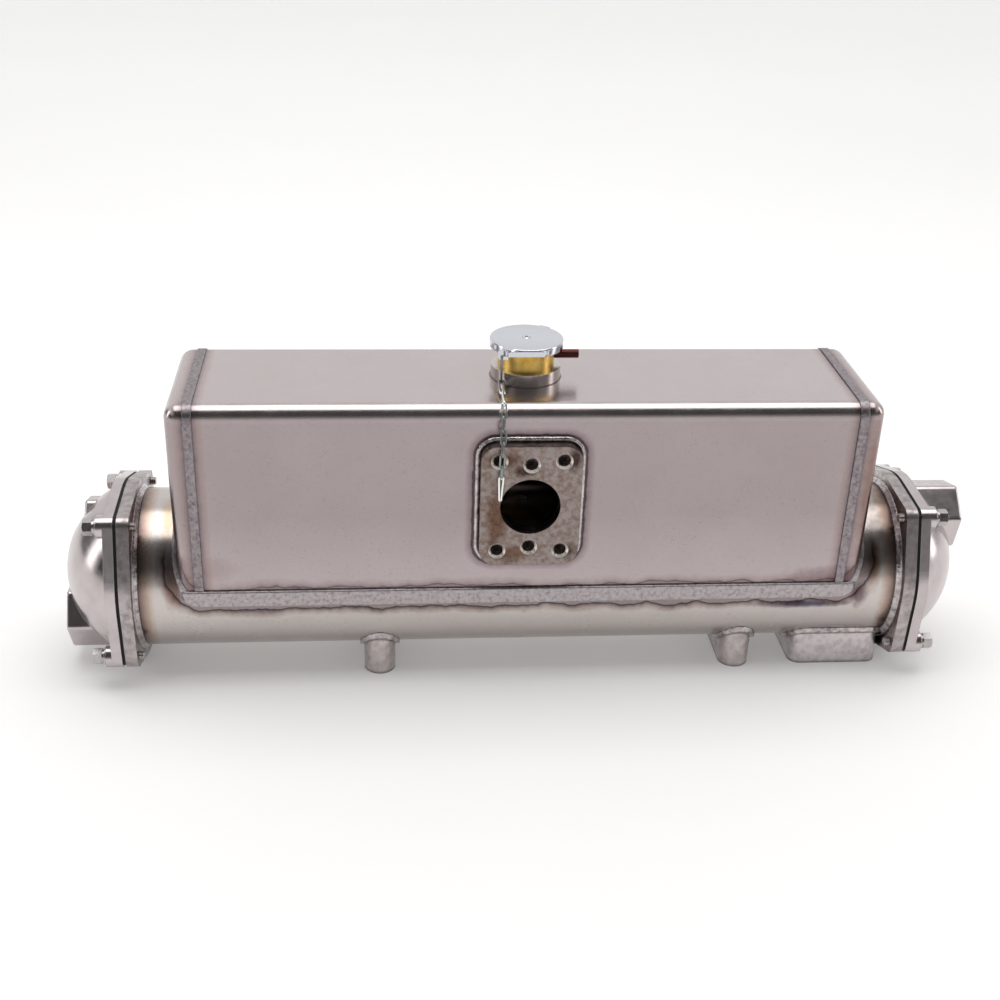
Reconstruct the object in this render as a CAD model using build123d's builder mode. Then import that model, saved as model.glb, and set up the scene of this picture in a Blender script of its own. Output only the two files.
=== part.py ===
from build123d import *
import os
from math import sqrt

os.makedirs("parts", exist_ok=True)

# Frame: X along the tube, Y to the back, Z up. Z = 0 is the plane the foot pads stand on.
# The origin is the middle of the foot pads' bolt pattern. All sizes are in mm.
PAD_PITCH = 327.0          # between the two foot pads
MID_X = -36.5              # middle of tube and tank, seen from the origin
AXIS_Z = 84.0              # tube axis above the seating plane

# Tube
TUBE_R = 70.65             # 141.3 outside diameter
TUBE_WALL = 3.4

# Header tank: a wrapper sheet, two pressed ends, and the welds between them
TANK_L = 600.0
TANK_D = 139.0
TANK_H = 184.5             # top above the tube axis
SHEET = 3.0
EDGE_R = 12.0
SEAM_IN = 19.5             # seam from the end of the tank
SEAM_GAP = 1.5             # half width of the weld root
SEAM_HALF = 3.8            # half width of the weld cap
SEAM_PROUD = 1.0
BASE_LEG = 2.6             # weld between tank and tube, proud of the tank's sides
SADDLE_LEG = 3.1           # and of its ends
BASE_RISE = 2.5            # and above the tube at the tank's ends
BASE_HIGH = 14.0           # its upper edge on the long sides, above the axis
BASE_LOW = -1.5            # its lower edge there
BASE_ROUND = 1.8
BASE_SWEEP = 30.0          # its lower edge sweeps up at the tank's corners

# Flanges, gaskets and M8 bolts
FLANGE_OUT = 47.2          # flange face beyond the end of the tank
FLANGE_T = 10.5
FILLET_WELD = 4.5
TIP_GAP = 5.85             # between that weld and a bolt's tip
WASHER_R = 8.0
WASHER_T = 1.6
SPRING_T = 2.0             # spring washer under the head
LUG_R = 10.0
LUG_STEP = 4.0             # flange edge inside the bolt circle
LUG_TURN = 37.0            # first lug, degrees under the horizontal, at the front
TUBE_SHORT = 3.0           # tube ends this far inside the flange face
GASKET_T = 2.8
GASKET_INSET = 1.5
GASKET_BORE = 62.0
BOLT_R = 4.0
BOLT_HOLE_R = 4.5          # in cover and gasket; the flange is tapped
HEAD_AF = 13.0
HEAD_H = 8.0
HEAD_TURN = 32.0           # first corner of a head, degrees from the back over the top
BOLT_SPARE = 4.5           # thread beyond the flange

# End covers: one casting, turned half a turn at the left, where it also has a vent
RIM_T = 8.8
LUG_T = 14.5
DOME_R = 82.4
DOME_RISE = 53.9           # dome top above the cover's face
COVER_WALL = 6.0
CAVITY_R = 66.0
PORT_OFF = 42.5            # port centre from the axis
PORT_AT = 98.0             # its angle at the right end, from the front over the top
PORT_AF = 57.0
PORT_RISE = 54.0
COVER_BORE_R = 19.5
VENT_OFF = 45.0
VENT_AT = 105.0
VENT_AF = 36.0
VENT_RISE = 35.0
VENT_BORE_R = 8.0
VENT_WALL = 13.0           # round the vent bore, inside the cover
VENT_DEEP = 13.0           # length of that bore
VENT_SEAT_R = 14.5         # flat cut into the dome round its mouth
BOSS_TURN = 8.0            # a boss's flats, degrees off the line to the cover's middle
BOSS_CR = 5.0
BOSS_EDGE = 2.5

# Tube bundle
SHEET_T = 10.0
SHEET_FIT = 0.15           # radial clearance of a tube sheet in the tube
BUNDLE_ACROSS = 5          # tubes in the middle row
BUNDLE_R = 8.0
BUNDLE_WALL = 1.2
BUNDLE_PITCH = 25.0

# Front port plate and bottom port pad
PLATE_W = 84.5
PLATE_H = 111.0
PLATE_T = 12.0
PLATE_CR = 14.0
PLATE_UP = 98.5            # centre above the tube axis
PORT_R = 25.5
PORT_SX = 54.0
PORT_SZ = 84.0
PORT_MID = 38.6
TAP_R = 5.1
TAP_CHAMFER = 2.0
PLATE_WELD = 4.5
PLATE_WELD_T = 2.5
PORT_PAD_GAP = 1.5         # pad to flange
PORT_PAD_GROOVE = 0.5      # its clearance round the flange's weld and a bolt's tip
PORT_PAD_W = 83.2
PORT_PAD_D = 104.0
PORT_PAD_CR = 10.5

# Foot pads
PAD_W = 28.0
PAD_D = 112.0
PAD_CR = 13.9
PAD_TAP_R = 4.25
PAD_TAP_SPAN = 80.0
PAD_TAP_DEPTH = 20.0
PAD_WELD = 4.0
PAD_WELD_RISE = 3.2        # above the tube

# Filler. Heights are above the tank top.
NECK_R = 24.0
NECK_BORE = 21.0
NECK_TOP = 29.5
LIP_R = 27.5
LIP_T = 2.0
COLLAR_R = 30.0
COLLAR_H = 11.0
CAP_R = 31.5
CAP_TOP = 34.5
CAP_SKIRT = 7.0
CAP_T = 2.0
CAP_EDGE = 1.2
DIMPLE_R = 3.0
DIMPLE_DEEP = 0.9
EAR_AT = 56.5              # ear of the cap, degrees from +X to the back
EAR_W = 11.0
EAR_OUT = 2.6
EAR_T = 3.5
SEAL_BORE = 8.0
VALVE_R = 19.5
VALVE_T = 2.5
VALVE_DROP = 12.0          # below the neck's lip
OVERFLOW_R = 3.75
OVERFLOW_BORE = 2.4
OVERFLOW_Z = 19.5
OVERFLOW_END = 45.0        # from the neck's axis

# Cap chain, hung from a tab on the cap
CHAIN_X = -23.0            # from the neck's axis
HANG_Y = -25.6
HANG_Z = 27.0              # hole of the tab above the tank top
WIRE_R = 0.8
LINK_W = 5.6
CLIP_R = 0.9               # last bend of the clip at the chain's end
TAB_W = 13.0
TAB_H = 9.0
TAB_CR = 2.5
TAB_T = 1.2
TAB_HOLE = 1.4

CUT = 5.0                  # how far a cut runs past what it goes through

HALF_L = TANK_L / 2
HALF_D = TANK_D / 2
TOP = AXIS_Z + TANK_H
SEAM_X = HALF_L - SEAM_IN
FLANGE_FACE = HALF_L + FLANGE_OUT
FLANGE_BACK = FLANGE_FACE - FLANGE_T
LUG_PCR = TUBE_R + FILLET_WELD + TIP_GAP + BOLT_R
FLANGE_R = LUG_PCR - LUG_STEP
COVER_FACE = FLANGE_FACE + GASKET_T
LUG_FACE = COVER_FACE + LUG_T
DOME_X = COVER_FACE + DOME_RISE - DOME_R
PORT_END = COVER_FACE + PORT_RISE
VENT_END = COVER_FACE + VENT_RISE
PORT_PAD_X = FLANGE_BACK - PORT_PAD_GAP - PORT_PAD_W / 2
PLATE_Z = AXIS_Z + PLATE_UP
ALONG = Axis((0, 0, AXIS_Z), (1, 0, 0))


def save(part, name):
    part.label = name
    export_step(part, "parts/" + name + ".step")


def across(x):
    """Plane across the tube at x from its middle; local x is to the back, local y is up."""
    return Plane(origin=(MID_X + x, 0, AXIS_Z), x_dir=(0, 1, 0), z_dir=(1, 0, 0))


def lug_points(r):
    """Centres of the four lugs on a circle of radius r, in a plane across the tube."""
    return PolarLocations(r, 4, start_angle=180 + LUG_TURN, rotate=False)


def boss_point(r, at):
    """Centre of a boss in a plane across the tube; the angle counts from the front over the top."""
    return PolarLocations(r, 1, start_angle=180 - at)


def end_block(build, side):
    """The piece built at the right end, or its mirror image at the left end."""
    if side > 0:
        return build
    return mirror(build, about=Plane(origin=(MID_X, 0, 0), z_dir=(1, 0, 0)))


def rod(r, x0, x1):
    """Round bar on the tube's axis between two planes across it."""
    with BuildPart() as bar:
        with BuildSketch(across(x0)):
            Circle(r)
        extrude(amount=x1 - x0)
    return bar.part


def turned(points):
    """Solid turned about the tube's axis from points of (x from the middle, radius)."""
    with BuildPart() as body:
        with BuildSketch(Plane.XZ):
            with BuildLine():
                Polyline([(MID_X + x, AXIS_Z + r) for x, r in points], close=True)
            make_face()
        revolve(axis=ALONG)
    return body.part


def lugged(r, lug):
    """Round outline with four lugs, its sides tangent to both."""
    with BuildSketch() as outline:
        Circle(r)
        with lug_points(LUG_PCR):
            Circle(lug)
        make_hull()
    return outline.sketch


def sphere_x(ball, r):
    """Where a ball about the dome's centre has radius r across the tube."""
    return DOME_X + sqrt(ball ** 2 - r ** 2)


def dome():
    """Round plug on the cover's rim with a spherical top."""
    rim = COVER_FACE + RIM_T
    foot = sqrt(DOME_R ** 2 - (rim - DOME_X) ** 2)
    mid = foot / 2
    with BuildPart() as plug:
        with BuildSketch(Plane.XZ):
            with BuildLine():
                Polyline((MID_X + DOME_X + DOME_R, AXIS_Z), (MID_X + COVER_FACE, AXIS_Z),
                         (MID_X + COVER_FACE, AXIS_Z + foot), (MID_X + rim, AXIS_Z + foot))
                ThreePointArc((MID_X + rim, AXIS_Z + foot), (MID_X + sphere_x(DOME_R, mid), AXIS_Z + mid),
                              (MID_X + DOME_X + DOME_R, AXIS_Z))
            make_face()
        revolve(axis=ALONG)
    return plug.part


def cavity(vented):
    """Inside of a cover: straight at the mouth, then three tapers; a vented one keeps a pad for the bore."""
    inner = DOME_R - COVER_WALL
    radii = (CAVITY_R, 0.73 * CAVITY_R, 0.38 * CAVITY_R)
    slope = [(sphere_x(inner, r), r) for r in radii]
    with BuildPart() as hollow:
        add(turned([(COVER_FACE - CUT, 0), (COVER_FACE - CUT, CAVITY_R)] + slope + [(slope[-1][0], 0)]))
        if vented:
            with BuildSketch(across(VENT_END - VENT_DEEP)):
                with boss_point(VENT_OFF, VENT_AT):
                    Circle(VENT_BORE_R + VENT_WALL)
            extrude(amount=DOME_RISE, mode=Mode.SUBTRACT)
    return hollow.part


def boss(off, at, flats, turn, rise):
    """Six-sided boss on a cover, its corners and its end rounded."""
    with BuildPart() as block:
        with BuildSketch(across(COVER_FACE)) as outline:
            with boss_point(off, at):
                RegularPolygon(flats / 2, 6, major_radius=False, rotation=30 + turn)
            fillet(outline.vertices(), BOSS_CR)
        extrude(amount=rise)
        fillet(block.faces().sort_by(Axis.X)[-1].edges(), BOSS_EDGE)
    return block.part


def tube_spots():
    """Centres of the bundle's tubes, in a hexagon."""
    half = BUNDLE_ACROSS // 2
    spots = []
    for row in range(-half, half + 1):
        n = BUNDLE_ACROSS - abs(row)
        for k in range(n):
            spots.append(((k - (n - 1) / 2) * BUNDLE_PITCH, row * BUNDLE_PITCH * sqrt(3) / 2))
    return spots


# Shell tube, with the opening of the bottom port
with BuildPart() as shell_tube:
    add(rod(TUBE_R, TUBE_SHORT - FLANGE_FACE, FLANGE_FACE - TUBE_SHORT))
    add(rod(TUBE_R - TUBE_WALL, -FLANGE_FACE, FLANGE_FACE), mode=Mode.SUBTRACT)
    with BuildSketch(Plane.XY):
        with Locations((MID_X + PORT_PAD_X, 0)):
            Circle(PORT_R)
    extrude(amount=AXIS_Z, mode=Mode.SUBTRACT)
save(shell_tube.part, "shell_tube")

for side, word in ((-1, "left"), (1, "right")):
    with BuildPart() as flange:
        with BuildSketch(across(FLANGE_BACK)):
            add(lugged(FLANGE_R, LUG_R))
            Circle(TUBE_R, mode=Mode.SUBTRACT)
            with lug_points(LUG_PCR):
                Circle(BOLT_R, mode=Mode.SUBTRACT)
        extrude(amount=FLANGE_T)
    save(end_block(flange.part, side), "tube_flange_" + word)

    # The bead's face is a little hollow.
    weld = turned([(FLANGE_BACK, TUBE_R), (FLANGE_BACK - FILLET_WELD, TUBE_R),
                   (FLANGE_BACK - 0.35 * FILLET_WELD, TUBE_R + 0.55 * FILLET_WELD),
                   (FLANGE_BACK, TUBE_R + FILLET_WELD)])
    save(end_block(weld, side), "flange_weld_" + word)

    with BuildPart() as gasket:
        with BuildSketch(across(FLANGE_FACE)):
            add(lugged(FLANGE_R - GASKET_INSET, LUG_R - GASKET_INSET))
            Circle(GASKET_BORE, mode=Mode.SUBTRACT)
            with lug_points(LUG_PCR):
                Circle(BOLT_HOLE_R, mode=Mode.SUBTRACT)
        extrude(amount=GASKET_T)
    save(end_block(gasket.part, side), "gasket_" + word)

    port_at = PORT_AT if side > 0 else PORT_AT - 180
    with BuildPart() as end_cover:
        with BuildSketch(across(COVER_FACE)):
            add(lugged(FLANGE_R, LUG_R))
        extrude(amount=RIM_T)
        with BuildSketch(across(COVER_FACE)):
            with lug_points(LUG_PCR):
                Circle(LUG_R)
        extrude(amount=LUG_T)
        add(dome())
        add(boss(PORT_OFF, port_at, PORT_AF, -side * BOSS_TURN, PORT_RISE))
        if side < 0:
            add(boss(VENT_OFF, VENT_AT, VENT_AF, 0, VENT_RISE))
        add(cavity(side < 0), mode=Mode.SUBTRACT)
        if side < 0:
            with BuildSketch(across(COVER_FACE)):
                with boss_point(VENT_OFF, VENT_AT):
                    Circle(VENT_BORE_R)
            extrude(amount=VENT_RISE, mode=Mode.SUBTRACT)
            with BuildSketch(across(VENT_END)):
                with boss_point(VENT_OFF, VENT_AT):
                    Circle(VENT_SEAT_R)
            extrude(amount=DOME_RISE, mode=Mode.SUBTRACT)
        with BuildSketch(across(COVER_FACE)):
            with boss_point(PORT_OFF, port_at):
                Circle(COVER_BORE_R)
        extrude(amount=PORT_RISE + CUT, mode=Mode.SUBTRACT)
        with BuildSketch(across(COVER_FACE)):
            with lug_points(LUG_PCR):
                Circle(BOLT_HOLE_R)
        extrude(amount=LUG_T + CUT, mode=Mode.SUBTRACT)
    save(end_block(end_cover.part, side), "end_cover_" + word)

    # Each bolt with its two washers, screwed into the flange
    head_face = LUG_FACE + WASHER_T + SPRING_T
    tip = FLANGE_BACK - BOLT_SPARE
    with BuildPart() as cover_bolts:
        with BuildSketch(across(tip)):
            with lug_points(LUG_PCR):
                Circle(BOLT_R)
        extrude(amount=head_face - tip)
        with BuildSketch(across(head_face)):
            with lug_points(LUG_PCR):
                RegularPolygon(HEAD_AF / 2, 6, major_radius=False, rotation=HEAD_TURN)
        extrude(amount=HEAD_H)
        with BuildSketch(across(LUG_FACE)):
            with lug_points(LUG_PCR):
                Circle(WASHER_R)
        extrude(amount=WASHER_T)
        with BuildSketch(across(LUG_FACE + WASHER_T)):
            with lug_points(LUG_PCR):
                Circle(HEAD_AF / 2)
        extrude(amount=SPRING_T)
    save(end_block(cover_bolts.part, side), "cover_bolts_" + word)

    with BuildPart() as tube_sheet:
        with BuildSketch(across(FLANGE_FACE - SHEET_T)):
            Circle(TUBE_R - TUBE_WALL - SHEET_FIT)
            with Locations(tube_spots()):
                Circle(BUNDLE_R, mode=Mode.SUBTRACT)
        extrude(amount=SHEET_T)
    save(end_block(tube_sheet.part, side), "tube_sheet_" + word)

with BuildPart() as tube_bundle:
    with BuildSketch(across(-FLANGE_FACE)):
        with Locations(tube_spots()):
            Circle(BUNDLE_R)
            Circle(BUNDLE_R - BUNDLE_WALL, mode=Mode.SUBTRACT)
    extrude(amount=2 * FLANGE_FACE)
save(tube_bundle.part, "tube_bundle")


def tank_block(grow):
    """The tank as a filled block from the tube's axis upwards, grown outwards."""
    height = TANK_H + grow
    with BuildPart() as block:
        with Locations((MID_X, 0, AXIS_Z + height / 2)):
            Box(TANK_L + 2 * grow, TANK_D + 2 * grow, height)
        edges = block.edges().filter_by(Axis.Z) + block.faces().sort_by(Axis.Z)[-1].edges()
        fillet(edges, EDGE_R + grow)
    return block.part


def slab(x0, x1, low):
    """Everything between two planes across the tube, above a height over its axis."""
    height = TANK_H + CUT - low
    with BuildPart() as block:
        with Locations((MID_X + (x0 + x1) / 2, 0, AXIS_Z + low + height / 2)):
            Box(x1 - x0, TANK_D + 2 * CUT, height)
    return block.part


tube_solid = rod(TUBE_R, -FLANGE_FACE, FLANGE_FACE)
outer = tank_block(0)
with BuildPart() as tank_shell:
    add(outer)
    add(tank_block(-SHEET), mode=Mode.SUBTRACT)
    add(tube_solid, mode=Mode.SUBTRACT)

with BuildPart() as tank_wrapper:
    add(tank_shell.part)
    add(slab(SEAM_GAP - SEAM_X, SEAM_X - SEAM_GAP, 0), mode=Mode.INTERSECT)
    with BuildSketch(Plane(origin=(MID_X, -HALF_D - CUT, PLATE_Z), x_dir=(1, 0, 0), z_dir=(0, 1, 0))):
        Circle(PORT_R)
    extrude(amount=SHEET + 2 * CUT, mode=Mode.SUBTRACT)
    with BuildSketch(Plane.XY.offset(TOP - SHEET - CUT)):
        with Locations((MID_X, 0)):
            Circle(NECK_R)
    extrude(amount=SHEET + 2 * CUT, mode=Mode.SUBTRACT)
save(tank_wrapper.part, "tank_wrapper")

for side, word in ((-1, "left"), (1, "right")):
    with BuildPart() as pan:
        add(tank_shell.part)
        add(slab(SEAM_X + SEAM_GAP, HALF_L + CUT, 0), mode=Mode.INTERSECT)
    save(end_block(pan.part, side), "tank_end_" + word)

    with BuildPart() as root:
        add(tank_shell.part)
        add(slab(SEAM_X - SEAM_GAP, SEAM_X + SEAM_GAP, 0), mode=Mode.INTERSECT)
    with BuildPart() as seam:
        add(tank_block(SEAM_PROUD))
        add(outer, mode=Mode.SUBTRACT)
        add(slab(SEAM_X - SEAM_HALF, SEAM_X + SEAM_HALF, BASE_HIGH), mode=Mode.INTERSECT)
        add(root.part)
    save(end_block(seam.part, side), "tank_seam_weld_" + word)

# Weld round the foot of the tank: a bead along each side, and a saddle over the tube at each end
crown = TUBE_R + BASE_RISE
raised = (crown ** 2 - HALF_D ** 2 - BASE_HIGH ** 2) / (2 * (crown - BASE_HIGH))
with BuildPart() as saddle:
    with BuildSketch(across(-FLANGE_FACE)):
        with Locations((0, raised)):
            Circle(crown - raised)
    extrude(amount=2 * FLANGE_FACE)
    add(tank_block(SADDLE_LEG), mode=Mode.INTERSECT)
with BuildPart() as tank_base_weld:
    with BuildSketch(Plane.XY.offset(AXIS_Z + BASE_LOW)):
        with Locations((MID_X, 0)):
            RectangleRounded(TANK_L + 2 * BASE_LEG, TANK_D + 2 * BASE_LEG, EDGE_R + BASE_LEG)
    extrude(amount=BASE_HIGH - BASE_LOW)
    ends = tank_base_weld.faces().filter_by(Axis.Z)
    fillet(ends.edges(), BASE_ROUND)
    add(saddle.part)
    with BuildSketch(Plane(origin=(MID_X, 0, AXIS_Z + BASE_LOW + TANK_H), x_dir=(1, 0, 0), z_dir=(0, -1, 0))):
        RectangleRounded(TANK_L + 2 * CUT, 2 * TANK_H, BASE_SWEEP)
    extrude(amount=HALF_D + CUT, both=True, mode=Mode.INTERSECT)
    add(outer, mode=Mode.SUBTRACT)
    add(tube_solid, mode=Mode.SUBTRACT)
save(tank_base_weld.part, "tank_base_weld")

FRONT = Plane(origin=(MID_X, -HALF_D, PLATE_Z), x_dir=(1, 0, 0), z_dir=(0, -1, 0))
with BuildPart() as front_port_plate:
    with BuildSketch(FRONT):
        RectangleRounded(PLATE_W, PLATE_H, PLATE_CR)
        Circle(PORT_R, mode=Mode.SUBTRACT)
        with GridLocations(PORT_SX, PORT_SZ, 2, 2):
            Circle(TAP_R, mode=Mode.SUBTRACT)
        with GridLocations(PORT_SX, 2 * PORT_MID, 1, 2):
            Circle(TAP_R, mode=Mode.SUBTRACT)
    extrude(amount=PLATE_T)
    rims = front_port_plate.edges().filter_by(GeomType.CIRCLE).group_by(Axis.Y)[0]
    chamfer(rims.filter_by(lambda e: e.radius < 2 * TAP_R), TAP_CHAMFER)
save(front_port_plate.part, "front_port_plate")

with BuildPart() as front_plate_weld:
    with BuildSketch(FRONT):
        RectangleRounded(PLATE_W + 2 * PLATE_WELD, PLATE_H + 2 * PLATE_WELD, PLATE_CR + PLATE_WELD)
        RectangleRounded(PLATE_W, PLATE_H, PLATE_CR, mode=Mode.SUBTRACT)
    extrude(amount=PLATE_WELD_T)
save(front_plate_weld.part, "front_plate_weld")


def pad(x, width, depth, corner):
    """Block from the seating plane up to the tube, for a pad or its weld."""
    with BuildPart() as block:
        with BuildSketch(Plane.XY):
            with Locations((x, 0)):
                RectangleRounded(width, depth, corner)
        extrude(amount=AXIS_Z - TUBE_R / 2)
        add(tube_solid, mode=Mode.SUBTRACT)
    return block.part


def pad_weld(x, width, depth, corner):
    """Bead round a pad where it meets the tube, clear of the flange's weld."""
    with BuildPart() as bead:
        add(pad(x, width + 2 * PAD_WELD, depth + 2 * PAD_WELD, corner + PAD_WELD))
        add(rod(TUBE_R + PAD_WELD_RISE, -FLANGE_FACE, FLANGE_BACK - FILLET_WELD), mode=Mode.INTERSECT)
        with BuildSketch(Plane.XY.offset(-CUT)):
            with Locations((x, 0)):
                RectangleRounded(width, depth, corner)
        extrude(amount=AXIS_Z + CUT, mode=Mode.SUBTRACT)
    return bead.part


for side, word in ((-1, "left"), (1, "right")):
    x = side * PAD_PITCH / 2
    with BuildPart() as foot_pad:
        add(pad(x, PAD_W, PAD_D, PAD_CR))
        with BuildSketch(Plane.XY):
            with Locations((x, PAD_TAP_SPAN / 2), (x, -PAD_TAP_SPAN / 2)):
                Circle(PAD_TAP_R)
        extrude(amount=PAD_TAP_DEPTH, mode=Mode.SUBTRACT)
    save(foot_pad.part, "foot_pad_" + word)
    save(pad_weld(x, PAD_W, PAD_D, PAD_CR), "foot_weld_" + word)

with BuildPart() as bottom_port_pad:
    add(pad(MID_X + PORT_PAD_X, PORT_PAD_W, PORT_PAD_D, PORT_PAD_CR))
    groove = FILLET_WELD + PORT_PAD_GROOVE
    add(rod(TUBE_R + groove, FLANGE_BACK - groove, FLANGE_FACE), mode=Mode.SUBTRACT)
    with BuildSketch(across(FLANGE_BACK - BOLT_SPARE - PORT_PAD_GROOVE)):
        with lug_points(LUG_PCR):
            Circle(BOLT_R + PORT_PAD_GROOVE)
    extrude(amount=BOLT_SPARE, mode=Mode.SUBTRACT)
    with BuildSketch(Plane.XY):
        with Locations((MID_X + PORT_PAD_X, 0)):
            with GridLocations(PORT_SX, PORT_SZ, 2, 2):
                Circle(PAD_TAP_R)
    extrude(amount=PAD_TAP_DEPTH, mode=Mode.SUBTRACT)
    with BuildSketch(Plane.XY):
        with Locations((MID_X + PORT_PAD_X, 0)):
            Circle(PORT_R)
    extrude(amount=AXIS_Z, mode=Mode.SUBTRACT)
save(bottom_port_pad.part, "bottom_port_pad")
save(pad_weld(MID_X + PORT_PAD_X, PORT_PAD_W, PORT_PAD_D, PORT_PAD_CR), "port_pad_weld")


def ring(r, bore, low, high):
    """Round piece on the neck's axis between two heights above the tank top; bore 0 is none."""
    with BuildPart() as body:
        with BuildSketch(Plane.XY.offset(TOP + low)):
            with Locations((MID_X, 0)):
                Circle(r)
                if bore:
                    Circle(bore, mode=Mode.SUBTRACT)
        extrude(amount=high - low)
    return body.part


save(ring(COLLAR_R, NECK_R, 0, COLLAR_H), "filler_collar")

SPOUT = Plane(origin=(MID_X, 0, TOP + OVERFLOW_Z), x_dir=(0, 1, 0), z_dir=(1, 0, 0))
with BuildPart() as filler_neck:
    add(ring(NECK_R, NECK_BORE, -SHEET, NECK_TOP))
    add(ring(LIP_R, NECK_BORE, NECK_TOP - LIP_T, NECK_TOP))
    with BuildSketch(SPOUT):
        Circle(OVERFLOW_R)
    extrude(amount=COLLAR_R, mode=Mode.SUBTRACT)
save(filler_neck.part, "filler_neck")

with BuildPart() as overflow_tube:
    with BuildSketch(SPOUT.offset(NECK_BORE)):
        Circle(OVERFLOW_R)
        Circle(OVERFLOW_BORE, mode=Mode.SUBTRACT)
    extrude(amount=OVERFLOW_END - NECK_BORE)
save(overflow_tube.part, "overflow_tube")

CAP_UNDER = CAP_TOP - CAP_T
with BuildPart() as pressure_cap:
    add(ring(CAP_R, 0, CAP_TOP - CAP_SKIRT, CAP_TOP))
    chamfer(pressure_cap.faces().sort_by(Axis.Z)[-1].edges(), CAP_EDGE)
    add(ring(CAP_R - CAP_T, 0, CAP_TOP - CAP_SKIRT - CUT, CAP_UNDER), mode=Mode.SUBTRACT)
    add(ring(DIMPLE_R, 0, CAP_TOP - DIMPLE_DEEP, CAP_TOP + CUT), mode=Mode.SUBTRACT)
    with BuildSketch(Plane.XY.offset(TOP + CAP_TOP - CAP_EDGE - EAR_T)):
        with Locations((MID_X, 0)):
            with PolarLocations(CAP_R + EAR_OUT / 2 - CAP_T / 2, 1, start_angle=EAR_AT):
                Rectangle(EAR_OUT + CAP_T, EAR_W)
    extrude(amount=EAR_T)
    add(ring(CAP_R - CAP_T, 0, CAP_TOP - CAP_SKIRT - CUT, CAP_UNDER), mode=Mode.SUBTRACT)
save(pressure_cap.part, "pressure_cap")

save(ring(LIP_R, SEAL_BORE, NECK_TOP, CAP_UNDER), "cap_seal")

with BuildPart() as cap_valve:
    add(ring(VALVE_R, 0, NECK_TOP - VALVE_DROP, NECK_TOP - VALVE_DROP + VALVE_T))
    add(ring(SEAL_BORE, 0, NECK_TOP - VALVE_DROP, CAP_UNDER))
save(cap_valve.part, "cap_valve")

with BuildPart() as cap_tab:
    with BuildSketch(Plane(origin=(MID_X + CHAIN_X, HANG_Y + TAB_T / 2, TOP + HANG_Z),
                           x_dir=(1, 0, 0), z_dir=(0, -1, 0))):
        with Locations((TAB_W / 4, TAB_H / 6)):
            RectangleRounded(TAB_W, TAB_H, TAB_CR)
        Circle(TAB_HOLE, mode=Mode.SUBTRACT)
    extrude(amount=TAB_T)
    add(ring(CAP_R, 0, 0, CAP_TOP + CUT), mode=Mode.SUBTRACT)
save(cap_tab.part, "cap_tab")


def link(start, end, wide, tip):
    """A long wire loop from the wire of its first bend to the centre of its last, whose radius is tip."""
    along = (end - start).normalized()
    out = (wide - along * wide.dot(along)).normalized()
    r = LINK_W / 2 - WIRE_R
    first = start + along * r
    lean = (r - tip) / (end - first).length
    upper = out * sqrt(1 - lean ** 2) + along * lean
    lower = along * lean - out * sqrt(1 - lean ** 2)
    with BuildPart() as loop:
        with BuildLine() as path:
            Line(first + upper * r, end + upper * tip)
            ThreePointArc(end + upper * tip, end + along * tip, end + lower * tip)
            Line(end + lower * tip, first + lower * r)
            ThreePointArc(first + lower * r, first - along * r, first + upper * r)
        straight = (end + upper * tip) - (first + upper * r)
        with BuildSketch(Plane(origin=first + upper * r, x_dir=upper, z_dir=straight)):
            RegularPolygon(WIRE_R, 6)
        sweep(path=path.line)
    return loop.part


# The chain falls over the tank's edge and hangs beside the front port. Each link's last bend is
# centred on the next link's first wire, so they hang in each other, and where the chain turns a
# corner the link before it stands in the plane of the turn. Three long links lead to six short
# ones and a clip that narrows to its end. Heights are from the tank top.
FACE_Y = -HALF_D - PLATE_T - 5.0
LONG = (Vector(0, HANG_Y, HANG_Z), Vector(0, HANG_Y, 5.2), Vector(-0.5, (HANG_Y - HALF_D) / 2, 3.6))
EDGE = (Vector(-1.0, -HALF_D - 0.5, 3.6), Vector(-1.5, -HALF_D - 11.0, -15.0), Vector(-2.2, FACE_Y, -35.0),
        Vector(-2.8, FACE_Y, -55.0))
hooks = list(LONG)
for near, far in zip(EDGE, EDGE[1:]):
    hooks += [near, (near + far) / 2]
hooks += [EDGE[-1], Vector(-3.2, FACE_Y, -76.0)]
HOOK_BASE = Vector(MID_X + CHAIN_X, 0, TOP)
UPWARD, SIDEWAYS = Vector(0, 1, 2), Vector(1, 0, 0)
last = len(hooks) - 2
with BuildPart() as cap_chain:
    for k in range(last + 1):
        wide = SIDEWAYS if k % 2 else UPWARD
        tip = CLIP_R if k == last else LINK_W / 2 - WIRE_R
        add(link(HOOK_BASE + hooks[k], HOOK_BASE + hooks[k + 1], wide, tip))
save(cap_chain.part, "cap_chain")
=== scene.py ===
"""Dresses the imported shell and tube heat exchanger: finishes, detailed fasteners, cap and chain, and the studio."""

from math import cos, pi, radians, sin

import bmesh
import bpy
from mathutils import Matrix, Vector


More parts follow.
